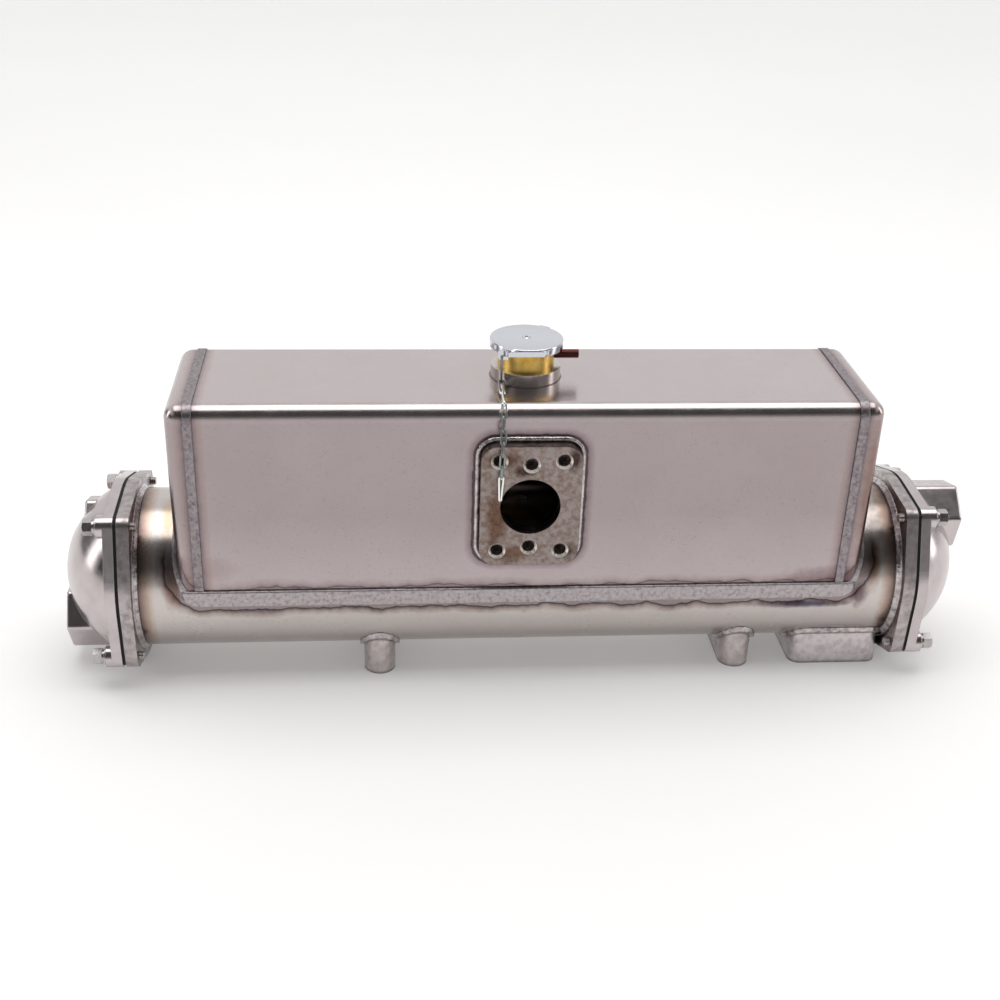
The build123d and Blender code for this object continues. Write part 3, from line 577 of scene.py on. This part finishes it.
class EXCHANGER_OT_finishes(bpy.types.Operator):
    """Give every CAD node its finish"""
    bl_idname = "exchanger.finishes"
    bl_label = "Finishes"

    def execute(self, context):
        finish = context.scene.exchanger_finish
        x = TUBE_MID.x
        seam = ("X", x, SEAM_X, 3.8, SEAM_STOPS)
        sheet = satin_stainless("cold_rolled_stainless_satin", tuple(finish.sheet), [seam], SHEET_SPOTS,
                                (TANK_HALF / MM - 5.5, 15.0, 20.0, -1.0, SHEET_FOOT_STOPS), sheet_details)
        tube = satin_stainless("drawn_stainless_tube_satin", tuple(finish.tube),
                               [("X", x, FLANGE_WELD_X, 2.5, FLANGE_STOPS)], TUBE_HEAT_AND_SHADE_SPOTS,
                               (TANK_HALF / MM + 9.6, -3.6, 34.0, 1.0, TUBE_FOOT_STOPS))
        bead = weld_bead("tig_weld_as_laid", "#8b8386", tuple(finish.bead), "#bbb3b4", 3.6, 0.45, 0.3, 0.46)
        seam_bead = weld_bead("tig_weld_brushed", "#71696c", linear("#8d8487"), "#9f9799", 3.0, 0.35, 0.3, 0.46)
        bright = weld_bead("tig_weld_bright", "#857d80", linear("#b5adad"), "#d2caca", 6.0, 0.5, 0.18, 0.3)
        cover = cast_cover("cast_cover_vapour_blasted", tuple(finish.cover))
        flange = ground_steel("flange_steel_ground", tuple(finish.flange), "#918988", 7.0, 0.7)
        plate = ground_steel("port_plate_steel_stained", tuple(finish.plate), "#7a675d", 4.0, 0.8, sinks=countersinks)
        block = ground_steel("pad_steel_ground", tuple(finish.pad), "#b7adab", 7.0, 1.2, 5.0)
        rubber = nitrile_rubber("nitrile_rubber_pressed")
        brass = spun_brass("brass_spun", tuple(finish.brass))
        overflow = plated("copper_tube_tarnished", tuple(finish.overflow), 0.35, 0.5, 0.4)
        sheet_brass = ground_steel("brass_plate_machined", linear("#b9975a"), "#9c7a48", 9.0, 0.0)
        copper = plated("copper_alloy_tube_drawn", linear("#b98a6a"), 0.25, 0.4, 0.0)
        dress(sheet, "tank_wrapper", "tank_end_left", "tank_end_right")
        dress(tube, "shell_tube", "filler_collar")
        dress(bead, "tank_base_weld")
        dress(seam_bead, "tank_seam_weld_left", "tank_seam_weld_right")
        dress(bright, "flange_weld_left", "flange_weld_right", "front_plate_weld", "foot_weld_left",
              "foot_weld_right", "port_pad_weld")
        dress(cover, "end_cover_left", "end_cover_right")
        dress(flange, "tube_flange_left", "tube_flange_right")
        dress(plate, "front_port_plate")
        dress(block, "foot_pad_left", "foot_pad_right")
        dress(ground_steel("port_pad_steel_blasted", linear("#dcd5d5"), "#c3babb", 6.0, 1.6, 5.0), "bottom_port_pad")
        dress(rubber, "gasket_left", "gasket_right", "cap_seal")
        dress(brass, "filler_neck", "cap_valve")
        dress(overflow, "overflow_tube")
        dress(sheet_brass, "tube_sheet_left", "tube_sheet_right")
        dress(copper, "tube_bundle")
        chrome = plated("chrome_plate_on_steel", tuple(finish.chrome), 0.1, 0.2, 0.4)
        zinc = plated("zinc_plate_on_steel", tuple(finish.zinc), 0.2, 0.34, 0.3)
        wire = nickel_wire("nickel_plate_on_wire", "#efefec", "#7f8480")
        dress(chrome, "cap_tab", "pressure_cap")
        dress(zinc, "cover_bolts_left", "cover_bolts_right")
        dress(wire, "cap_chain")
        return {"FINISHED"}


# The chain's hooks, as it hangs in the model: from the tab, along the tank's top and down beside the port.
FACE_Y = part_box("front_port_plate")[0].y / MM - 5.0
EDGE_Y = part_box("tank_wrapper")[0].y / MM
HOOK_BASE = Vector((CAP_MID_X - 23.0 * MM, 0.0, TANK_TOP))
HANG_Y = -25.6
FALL = ((-1.0, EDGE_Y - 0.5, 3.6), (-1.5, EDGE_Y - 11.0, -15.0), (-2.2, FACE_Y, -35.0), (-2.8, FACE_Y, -55.0))


def chain_hooks():
    """Where each link's first wire lies, seen from the point under the tab."""
    hooks = [Vector(p) for p in ((0, HANG_Y, 27.0), (0, HANG_Y, 5.2), (-0.5, (HANG_Y + EDGE_Y) / 2, 3.6))]
    for near, far in zip(FALL, FALL[1:]):
        hooks += [Vector(near), (Vector(near) + Vector(far)) / 2]
    return [hook * MM for hook in hooks + [Vector(FALL[-1]), Vector((-3.2, FACE_Y, -76.0))]]


def wire_link(name, bend, tip, wire, length):
    """A loop of bent wire along X from its first bend at the origin; its last bend has the radius tip."""
    clear_selection()
    bpy.ops.mesh.primitive_torus_add(major_radius=bend, minor_radius=wire, major_segments=28, minor_segments=12)
    loop = named(name)
    bpy.ops.object.mode_set(mode="EDIT")
    for step in range(-6, 7):
        turn = step * 2 * pi / 28
        select(loop, lambda v: v.index // 12 == step % 28)
        slip = Vector((length - 2 * bend + (tip - bend) * (cos(turn) - 1), (tip - bend) * sin(turn), 0))
        bpy.ops.transform.translate(value=slip)
    bpy.ops.object.mode_set(mode="OBJECT")
    return loop


class EXCHANGER_OT_chain(bpy.types.Operator):
    """Model the cap's chain, link by link, from bent wire"""
    bl_idname = "exchanger.chain"
    bl_label = "Chain"

    def execute(self, context):
        sizes = context.scene.exchanger_chain
        bend = sizes.width / 2 - sizes.wire
        hooks = chain_hooks()
        links = []
        for k, (start, end) in enumerate(zip(hooks, hooks[1:])):
            along = (end - start).normalized()
            wide = Vector((1, 0, 0)) if k % 2 else Vector((0, 1, 2))
            out = (wide - along * wide.dot(along)).normalized()
            tip = sizes.clip if k == len(hooks) - 2 else bend
            loop = wire_link("chain_link", bend, tip, sizes.wire, (end - start).length + tip)
            turn = Matrix((along, out, along.cross(out))).transposed().to_4x4()
            loop.matrix_world = Matrix.Translation(HOOK_BASE + start + along * bend) @ turn
            settle(loop)
            links.append(loop)
        chain = join(links, "chain_of_wire_links")
        hand_over(chain, "cap", "chain_steel", bpy.data.materials["nickel_plate_on_wire"], "cap_chain", angle=60)
        return {"FINISHED"}


class EXCHANGER_OT_plate_bead(bpy.types.Operator):
    """Model the round bead that joins the port plate to the tank"""
    bl_idname = "exchanger.plate_bead"
    bl_label = "Plate bead"

    def execute(self, context):
        low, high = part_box("front_plate_weld")
        thick = high.y - low.y
        half = (high - low) / 2
        across = (half.x - PLATE_HALF.x) / 2
        turn = 18.5 * MM - across
        clear_selection()
        bpy.ops.mesh.primitive_torus_add(major_radius=turn, minor_radius=across, major_segments=64, minor_segments=16)
        bead = named("plate_bead_round")
        bpy.ops.object.mode_set(mode="EDIT")
        for k in range(64):
            angle = k * 2 * pi / 64
            select(bead, lambda v: v.index // 16 == k)
            sign = [0 if abs(c) < 0.01 else (1 if c > 0 else -1) for c in (cos(angle), sin(angle))]
            bpy.ops.transform.translate(value=(sign[0] * (half.x - across - turn), sign[1] * (half.z - across - turn), 0))
        bpy.ops.mesh.select_all(action="SELECT")
        bpy.ops.transform.resize(value=(1, 1, thick / across), center_override=(0, 0, 0))
        select(bead, lambda v: v.co.z < -1e-6)
        bpy.ops.transform.resize(value=(1, 1, 0), center_override=(0, 0, 0))
        bpy.ops.object.mode_set(mode="OBJECT")
        bead.rotation_euler = (pi / 2, 0, 0)
        bead.location = (PLATE_MID.x, high.y, PLATE_MID.z)
        hand_over(bead, "exchanger", "weld_bead", bpy.data.materials["tig_weld_bright"], "front_plate_weld", angle=50)
        return {"FINISHED"}


class EXCHANGER_OT_bolts(bpy.types.Operator):
    """Model one cover bolt with its washers, and set it in all eight lugs"""
    bl_idname = "exchanger.bolts"
    bl_label = "Cover bolts"

    def execute(self, context):
        sizes = context.scene.exchanger_bolts
        low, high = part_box("cover_bolts_right")
        total = high.x - low.x
        seat = total - sizes.head - sizes.spring - sizes.thick
        r, deep = sizes.shank, sizes.pitch * 0.55
        outline = [(r - 0.8 * MM, 0.0), (r - 0.1 * MM, 0.7 * MM)]
        for k in range(5):
            z = 0.7 * MM + k * sizes.pitch
            outline += [(r - deep, z + sizes.pitch / 2), (r, z + sizes.pitch)]
        shank = turned("bolt_shank", outline + [(r, total - sizes.head)], 32)
        flat = turned("bolt_flat_washer", [(sizes.washer - 0.3 * MM, seat), (sizes.washer, seat + 0.3 * MM),
                                           (sizes.washer, seat + sizes.thick - 0.3 * MM),
                                           (sizes.washer - 0.3 * MM, seat + sizes.thick)], 48)
        spring = turned("bolt_spring_washer", [(sizes.flats / 2 - 0.1 * MM, seat + sizes.thick),
                                               (sizes.flats / 2 - 0.1 * MM, seat + sizes.thick + sizes.spring)], 48)
        bpy.ops.mesh.primitive_cube_add(size=1.0)
        slit = named("slit")
        slit.scale = (6 * MM, 1.0 * MM, 8 * MM)
        slit.rotation_euler = (radians(35), 0, 0)
        slit.location = (sizes.flats / 2, 0, seat + sizes.thick + sizes.spring / 2)
        settle(slit)
        combine(spring, slit, "DIFFERENCE")
        clear_selection()
        bpy.ops.mesh.primitive_cylinder_add(vertices=6, radius=sizes.flats / 2 / cos(pi / 6), depth=sizes.head,
                                            location=(0, 0, total - sizes.head / 2))
        head = named("bolt_head")
        settle(head)
        slope = (sizes.washer - sizes.flats / 2 + 0.4 * MM) * 0.58
        dome = turned("head_outline", [(sizes.washer - 0.3 * MM, total - sizes.head), (sizes.washer, total - slope),
                                       (sizes.flats / 2 - 0.4 * MM, total)], 64)
        combine(head, dome, "INTERSECT")
        bolt = join([head, shank, flat, spring], "bolt_with_washers")
        for side in (-1, 1):
            word = "left" if side < 0 else "right"
            low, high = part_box("cover_bolts_" + word)
            inner = low.x if side > 0 else high.x
            reach = (high.z - AXIS_Z - sizes.washer) / cos(radians(37))
            row = []
            for k in range(4):
                angle = radians(37 + 90 * k)
                spot = Vector((inner, -reach * cos(angle), AXIS_Z - reach * sin(angle)))
                one = copy_of(bolt, "cover_bolt")
                tilt = Matrix.Rotation(side * pi / 2, 4, "Y") @ Matrix.Rotation(HEAD_TURNS[k] * side, 4, "Z")
                one.matrix_world = Matrix.Translation(spot) @ tilt
                settle(one)
                row.append(one)
            bolts = join(row, "cover_bolts_plated_" + word)
            hand_over(bolts, "exchanger", "zinc_bolt", bpy.data.materials["zinc_plate_on_steel"],
                      "cover_bolts_" + word, angle=25)
        bpy.data.objects.remove(bolt, do_unlink=True)
        return {"FINISHED"}


# How far each head ended up turned, in radians.
HEAD_TURNS = (0.3, 1.1, 0.75, 0.05)


class EXCHANGER_OT_cap(bpy.types.Operator):
    """Model the pressed filler cap with its ears, its flat and its rivet"""
    bl_idname = "exchanger.cap"
    bl_label = "Filler cap"

    def execute(self, context):
        sizes = context.scene.exchanger_cap
        low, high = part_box("pressure_cap")
        top, foot = high.z, low.z
        roof = top - 2.0 * MM
        outline = [(8.0 * MM, roof), (CAP_RADIUS - 2.0 * MM, roof), (CAP_RADIUS - sizes.wall, roof - 0.8 * MM),
                   (CAP_RADIUS - sizes.wall, foot), (CAP_RADIUS - 0.1 * MM, foot), (CAP_RADIUS, foot + 0.3 * MM),
                   (CAP_RADIUS, foot + 2.6 * MM), (CAP_RADIUS, top - 2.4 * MM), (CAP_RADIUS, top - 1.3 * MM),
                   (CAP_RADIUS - 0.2 * MM, top - 0.6 * MM), (CAP_RADIUS - 0.6 * MM, top - 0.2 * MM),
                   (CAP_RADIUS - 1.3 * MM, top), (sizes.dish, top), (sizes.rivet + 0.5 * MM, top - sizes.dent),
                   (sizes.rivet, top - sizes.dent), (sizes.rivet * 0.9, top - sizes.dent * 0.4),
                   (sizes.rivet * 0.65, top - sizes.dent * 0.12), (sizes.rivet * 0.3, top)]
        cap = turned("pressed_filler_cap", outline, 160)
        bpy.ops.object.mode_set(mode="EDIT")
        for turn in (radians(56.5), radians(236.5)):
            way = Vector((cos(turn), sin(turn), 0))
            select(cap, lambda v: v.co.to_2d().dot(way.to_2d()) > CAP_RADIUS * cos(radians(10.5)))
            bpy.ops.transform.translate(value=way * sizes.ear)
        for least, most, front in ((0.0, CAP_RADIUS - 0.8 * MM, sizes.wall - sizes.flat),
                                   (CAP_RADIUS - 0.5 * MM, 1.0, -sizes.flat)):
            select(cap, lambda v: v.co.y < front and v.co.z < top - 1.8 * MM
                   and least < v.co.to_2d().length < most)
            bpy.ops.transform.resize(value=(1, 0, 1), center_override=(0, front, 0))
        for turn in (radians(-61), radians(-124), radians(-152)):
            way = Vector((cos(turn), sin(turn), 0))
            select(cap, lambda v: v.co.to_2d().normalized().dot(way.to_2d()) > cos(radians(1.6))
                   and v.co.z < top - 1.8 * MM and v.co.to_2d().length > CAP_RADIUS - 2.0 * MM)
            bpy.ops.transform.translate(value=-way * 1.5 * MM)
        bpy.ops.object.mode_set(mode="OBJECT")
        cap.location = (CAP_MID_X, 0, 0)
        hand_over(cap, "cap", "cap_plated", bpy.data.materials["chrome_plate_on_steel"], "pressure_cap", angle=30)
        return {"FINISHED"}


class EXCHANGER_OT_stage(bpy.types.Operator):
    """Build the floor, the lamps and the camera"""
    bl_idname = "exchanger.stage"
    bl_label = "Stage"

    def execute(self, context):
        studio = context.scene.exchanger_studio
        clear_selection()
        bpy.ops.mesh.primitive_plane_add(size=24.0)
        floor = named("studio_floor")
        material, tree, place = blank("pale_paper_floor")
        depth = axis_mm(tree, place, "Y", 0.0)
        paper = blend_colours(tree, cloud(tree, place, 400.0), tuple(studio.floor), linear("#ecebea"))
        # Far behind, the paper is seen and mirrored white, but it gives no light of its own.
        rays = node(tree, "ShaderNodeLightPath").outputs
        seen = number(tree, "ADD", rays["Is Camera Ray"], number(tree, "ADD", rays["Is Glossy Ray"],
                                                                 rays["Is Transmission Ray"]))
        glow = number(tree, "MULTIPLY", seen, fraction(tree, depth, 100.0, 2600.0, 0.2, 0.34))
        shader = node(tree, "ShaderNodeBsdfPrincipled", {"Base Color": paper, "Roughness": 0.9,
                                                         "Emission Color": grey(1.0), "Emission Strength": glow})
        node(tree, "ShaderNodeOutputMaterial", {"Surface": shader.outputs["BSDF"]})
        floor.data.materials.append(material)

        # Overhead soft box, a little behind the object, so the front bends mirror the dark front of the room.
        bpy.ops.object.light_add(type="AREA", location=(TUBE_MID.x, 0.05, 2.2))
        lamp = bpy.context.object
        lamp.name = "overhead_soft_box"
        lamp.data.shape = "RECTANGLE"
        lamp.data.size = 2.6
        lamp.data.size_y = 1.62
        lamp.data.energy = studio.lamp

        world = bpy.data.worlds.new("studio_room")
        context.scene.world = world
        world.use_nodes = True
        tree = world.node_tree
        tree.nodes.clear()
        place = node(tree, "ShaderNodeTexCoord").outputs["Generated"]
        split = node(tree, "ShaderNodeSeparateXYZ", {0: place})
        # 0 is the horizon behind the object, 0.5 is overhead, and 1 is the horizon in front; below, the room repeats.
        rise = number(tree, "ABSOLUTE", split.outputs["Z"])
        angle = number(tree, "ARCTAN2", rise, split.outputs["Y"])
        turn = number(tree, "MULTIPLY", angle, 1 / pi)
        room = node(tree, "ShaderNodeValToRGB", {"Fac": turn},
                    [(0.0, grey(0.8)), (0.12, grey(0.95)), (0.22, grey(0.9)), (0.5, grey(0.6)), (0.61, grey(0.07)),
                     (0.89, grey(0.07)), (0.95, grey(0.3)), (1.0, grey(0.45))]).outputs["Color"]
        # The left side is dark low down and the right side dim, but for tall soft boxes straight beside the covers.
        end_on = number(tree, "ABSOLUTE", split.outputs["X"])
        sides = number(tree, "MINIMUM", fraction(tree, split.outputs["X"], -0.88, -0.7, 0.12, 1.0),
                       fraction(tree, split.outputs["X"], 0.7, 0.88, 1.0, 0.55))
        high = fraction(tree, split.outputs["Z"], 0.28, 0.48)
        dark = number(tree, "MAXIMUM", sides, high)
        corner = number(tree, "MULTIPLY", fraction(tree, end_on, 0.46, 0.62, 0.0, 0.6), high)
        room = blend_colours(tree, 1.0, room, corner, "LIGHTEN")
        strip = number(tree, "MULTIPLY", fraction(tree, end_on, 0.74, 0.9),
                       fraction(tree, number(tree, "ABSOLUTE", split.outputs["Y"]), 0.06, 0.17, 1.0, 0.0))
        tint = blend_colours(tree, strip, room, grey(1.0))
        level = number(tree, "MULTIPLY_ADD", strip, 3.2, dark)
        back = node(tree, "ShaderNodeBackground", {"Color": tint, "Strength": level})
        node(tree, "ShaderNodeOutputWorld", {"Surface": back.outputs["Background"]})

        place_camera(context, studio.lens * 1.0)
        context.scene.view_settings.view_transform = "Standard"
        return {"FINISHED"}


# The camera solved from the photograph's edges: its place in mm from the tube's middle, and its turns in degrees.
CAMERA_MM = (-125.33, -1126.47, 650.85)
CAMERA_YAW, CAMERA_PITCH, CAMERA_ROLL = 5.44, 27.45, 1.95


def place_camera(context, lens):
    """Sets the camera at the photograph's place and angle."""
    yaw, pitch, roll = (radians(a) for a in (CAMERA_YAW, CAMERA_PITCH, CAMERA_ROLL))
    ahead = Vector((sin(yaw) * cos(pitch), cos(yaw) * cos(pitch), -sin(pitch)))
    side = Vector((cos(yaw), -sin(yaw), 0.0))
    above = side.cross(ahead)
    right = cos(roll) * side + sin(roll) * above
    up = cos(roll) * above - sin(roll) * side
    data = bpy.data.cameras.new("photo_camera")
    data.lens = lens
    data.sensor_width = 36.0
    camera = bpy.data.objects.new("photo_camera", data)
    context.collection.objects.link(camera)
    spot = Vector((TUBE_MID.x, 0.0, AXIS_Z)) + Vector(CAMERA_MM) * MM
    camera.matrix_world = Matrix.Translation(spot) @ Matrix((right, up, -ahead)).transposed().to_4x4()
    context.scene.camera = camera


class EXCHANGER_PT_panel(bpy.types.Panel):
    """Lists the operators in the order they are run."""
    bl_idname = "EXCHANGER_PT_panel"
    bl_label = "Heat exchanger"
    bl_space_type = "VIEW_3D"
    bl_region_type = "UI"
    bl_category = "Exchanger"

    def draw(self, context):
        for step in STEPS:
            self.layout.operator(step.bl_idname)


STEPS = (EXCHANGER_OT_finishes, EXCHANGER_OT_plate_bead, EXCHANGER_OT_bolts, EXCHANGER_OT_cap, EXCHANGER_OT_chain, EXCHANGER_OT_stage)
GROUPS = {"exchanger_finish": ExchangerFinish, "exchanger_chain": ChainSizes, "exchanger_bolts": BoltSizes,
          "exchanger_cap": CapSizes, "exchanger_studio": StudioSettings}


def register():
    for kind in (*GROUPS.values(), *STEPS, EXCHANGER_PT_panel):
        bpy.utils.register_class(kind)
    for name, kind in GROUPS.items():
        setattr(bpy.types.Scene, name, bpy.props.PointerProperty(type=kind))


def unregister():
    for name in GROUPS:
        delattr(bpy.types.Scene, name)
    for kind in reversed((*GROUPS.values(), *STEPS, EXCHANGER_PT_panel)):
        bpy.utils.unregister_class(kind)


def main():
    """Builds everything in order."""
    register()
    bpy.ops.exchanger.finishes()
    bpy.ops.exchanger.plate_bead()
    bpy.ops.exchanger.bolts()
    bpy.ops.exchanger.cap()
    bpy.ops.exchanger.chain()
    bpy.ops.exchanger.stage()


if __name__ == "__main__":
    main()
